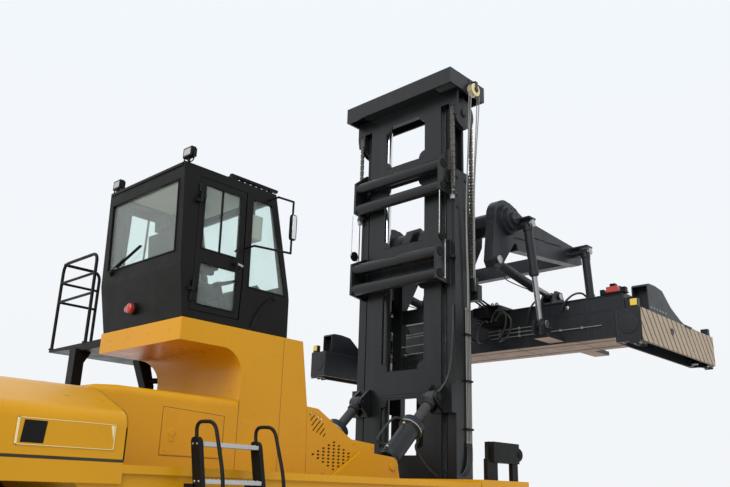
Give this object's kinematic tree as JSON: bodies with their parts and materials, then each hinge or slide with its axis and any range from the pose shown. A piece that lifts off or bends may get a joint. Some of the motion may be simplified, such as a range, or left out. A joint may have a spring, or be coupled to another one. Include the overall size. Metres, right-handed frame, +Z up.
{
  "type": "container handling lift truck",
  "caption": "Mast-type container handler: lift truck with a raised cab, two-stage mast and telescopic top-lift spreader.",
  "frame": {"origin": "on the ground under the middle of the whole machine", "axes": "+X forward towards the spreader, +Y to the machine's left, +Z up"},
  "size_m": [11.559, 6.06, 7.65],
  "materials": {
    "amber": "gloss machine enamel",
    "coal": "satin black paint",
    "mast": "satin charcoal paint",
    "slate": "satin dark blue-grey paint",
    "tyre": "black rubber",
    "rim": "gloss machine enamel",
    "chrome": "hard chromed rods",
    "glass": "green tinted safety glass",
    "lamp": "lamp lenses",
    "cloth": "woven seat cover",
    "steel": "bare steel chain",
    "iron": "painted casting"
  },
  "bodies": {
    "root": {"chassis": "amber", "drive_axle": "coal", "steer_axle": "coal", "counterweight": "amber", "engine": "iron", "hood": "amber", "side_tanks": "amber", "front_fenders": "amber", "front_body": "amber", "pedestal": "amber", "front_covers": "amber", "cab_shell": "coal", "cab_glass": "glass", "roof_guard": "coal", "cab_lamps": "lamp", "mirror_hoop": "coal", "seat": "cloth", "console": "coal", "platform": "coal", "railing": "coal", "ladders": "coal"},
    "door_right": {"door_right": "coal", "door_right_glass": "glass"},
    "door_left": {"door_left": "coal", "door_left_glass": "glass"},
    "drive_wheel_right": {"drive_tyres_right": "tyre", "drive_rims_right": "rim"},
    "drive_wheel_left": {"drive_tyres_left": "tyre", "drive_rims_left": "rim"},
    "knuckle_right": {"knuckle_right": "coal"},
    "knuckle_left": {"knuckle_left": "coal"},
    "steer_wheel_right": {"steer_tyre_right": "tyre", "steer_rim_right": "rim"},
    "steer_wheel_left": {"steer_tyre_left": "tyre", "steer_rim_left": "rim"},
    "mast": {"mast_outer": "mast", "lift_barrels": "mast"},
    "inner_mast": {"mast_inner": "mast", "lift_rods": "chrome", "chains_rear": "steel"},
    "carriage": {"carriage": "mast", "chains_front": "steel", "spreader_arms": "slate", "spreader_frame": "slate"},
    "tilt_barrel_right": {"tilt_barrel_right": "slate"},
    "tilt_rod_right": {"tilt_rod_right": "chrome"},
    "tilt_barrel_left": {"tilt_barrel_left": "slate"},
    "tilt_rod_left": {"tilt_rod_left": "chrome"},
    "end_beam_right": {"end_beam_right": "slate"},
    "end_beam_left": {"end_beam_left": "slate"}
  },
  "joints": [
    {"name": "drive_roll_right", "type": "hinge", "parent": "root", "child": "drive_wheel_right", "pos_m": [1.6705, 0, 0.815], "axis": [0, 1, 0], "continuous": true},
    {"name": "drive_roll_left", "type": "hinge", "parent": "root", "child": "drive_wheel_left", "pos_m": [1.6705, 0, 0.815], "axis": [0, 1, 0], "continuous": true},
    {"name": "steer_left", "type": "hinge", "parent": "root", "child": "knuckle_left", "pos_m": [-4.0795, 1.12, 0.815], "axis": [0, 0, 1], "range_deg": [-50, 50]},
    {"name": "steer_right", "type": "hinge", "parent": "root", "child": "knuckle_right", "pos_m": [-4.0795, -1.12, 0.815], "axis": [0, 0, 1], "range_deg": [-50, 50]},
    {"name": "steer_roll_right", "type": "hinge", "parent": "knuckle_right", "child": "steer_wheel_right", "pos_m": [-4.0795, -1.62, 0.815], "axis": [0, 1, 0], "continuous": true},
    {"name": "steer_roll_left", "type": "hinge", "parent": "knuckle_left", "child": "steer_wheel_left", "pos_m": [-4.0795, 1.62, 0.815], "axis": [0, 1, 0], "continuous": true},
    {"name": "door_right_swing", "type": "hinge", "parent": "root", "child": "door_right", "pos_m": [-1.7995, -0.785, 4], "axis": [0, 0, -1], "range_deg": [0, 75]},
    {"name": "door_left_swing", "type": "hinge", "parent": "root", "child": "door_left", "pos_m": [-1.7995, 0.785, 4], "axis": [0, 0, 1], "range_deg": [0, 75]},
    {"name": "mast_tilt", "type": "hinge", "parent": "root", "child": "mast", "pos_m": [2.1255, 0, 0.62], "axis": [0, 1, 0], "range_deg": [-6, 3]},
    {"name": "lift", "type": "slide", "parent": "mast", "child": "inner_mast", "axis": [0, 0, 1], "range_m": [-0.58, 2], "deforming": ["chains_rear"]},
    {"name": "carriage_lift", "type": "slide", "parent": "inner_mast", "child": "carriage", "axis": [0, 0, 1], "range_m": [-0.58, 2], "deforming": ["chains_front"]},
    {"name": "tilt_barrel_right", "type": "hinge", "parent": "root", "child": "tilt_barrel_right", "pos_m": [1.1605, -0.67, 1.99], "axis": [0, 1, 0], "range_deg": [-7.5, 3.8]},
    {"name": "tilt_rod_right", "type": "slide", "parent": "tilt_barrel_right", "child": "tilt_rod_right", "axis": [0.7203, 0, 0.6936], "range_m": [-0.175, 0.09]},
    {"name": "tilt_barrel_left", "type": "hinge", "parent": "root", "child": "tilt_barrel_left", "pos_m": [1.1605, 0.67, 1.99], "axis": [0, 1, 0], "range_deg": [-7.5, 3.8]},
    {"name": "tilt_rod_left", "type": "slide", "parent": "tilt_barrel_left", "child": "tilt_rod_left", "axis": [0.7203, 0, 0.6936], "range_m": [-0.175, 0.09]},
    {"name": "extend_left", "type": "slide", "parent": "carriage", "child": "end_beam_left", "axis": [0, 1, 0], "range_m": [0, 3.066]},
    {"name": "extend_right", "type": "slide", "parent": "carriage", "child": "end_beam_right", "axis": [0, -1, 0], "range_m": [0, 3.066]}
  ],
  "couplings": [
    {"joint": "steer_right", "follows": "steer_left", "ratio": 1},
    {"joint": "carriage_lift", "follows": "lift", "ratio": 1},
    {"joint": "extend_right", "follows": "extend_left", "ratio": 1},
    {"joint": "tilt_barrel_right", "follows": "mast_tilt", "ratio": 1.24},
    {"joint": "tilt_rod_right", "follows": "mast_tilt", "m_per_rad": 1.65},
    {"joint": "tilt_barrel_left", "follows": "mast_tilt", "ratio": 1.24},
    {"joint": "tilt_rod_left", "follows": "mast_tilt", "m_per_rad": 1.65}
  ]
}
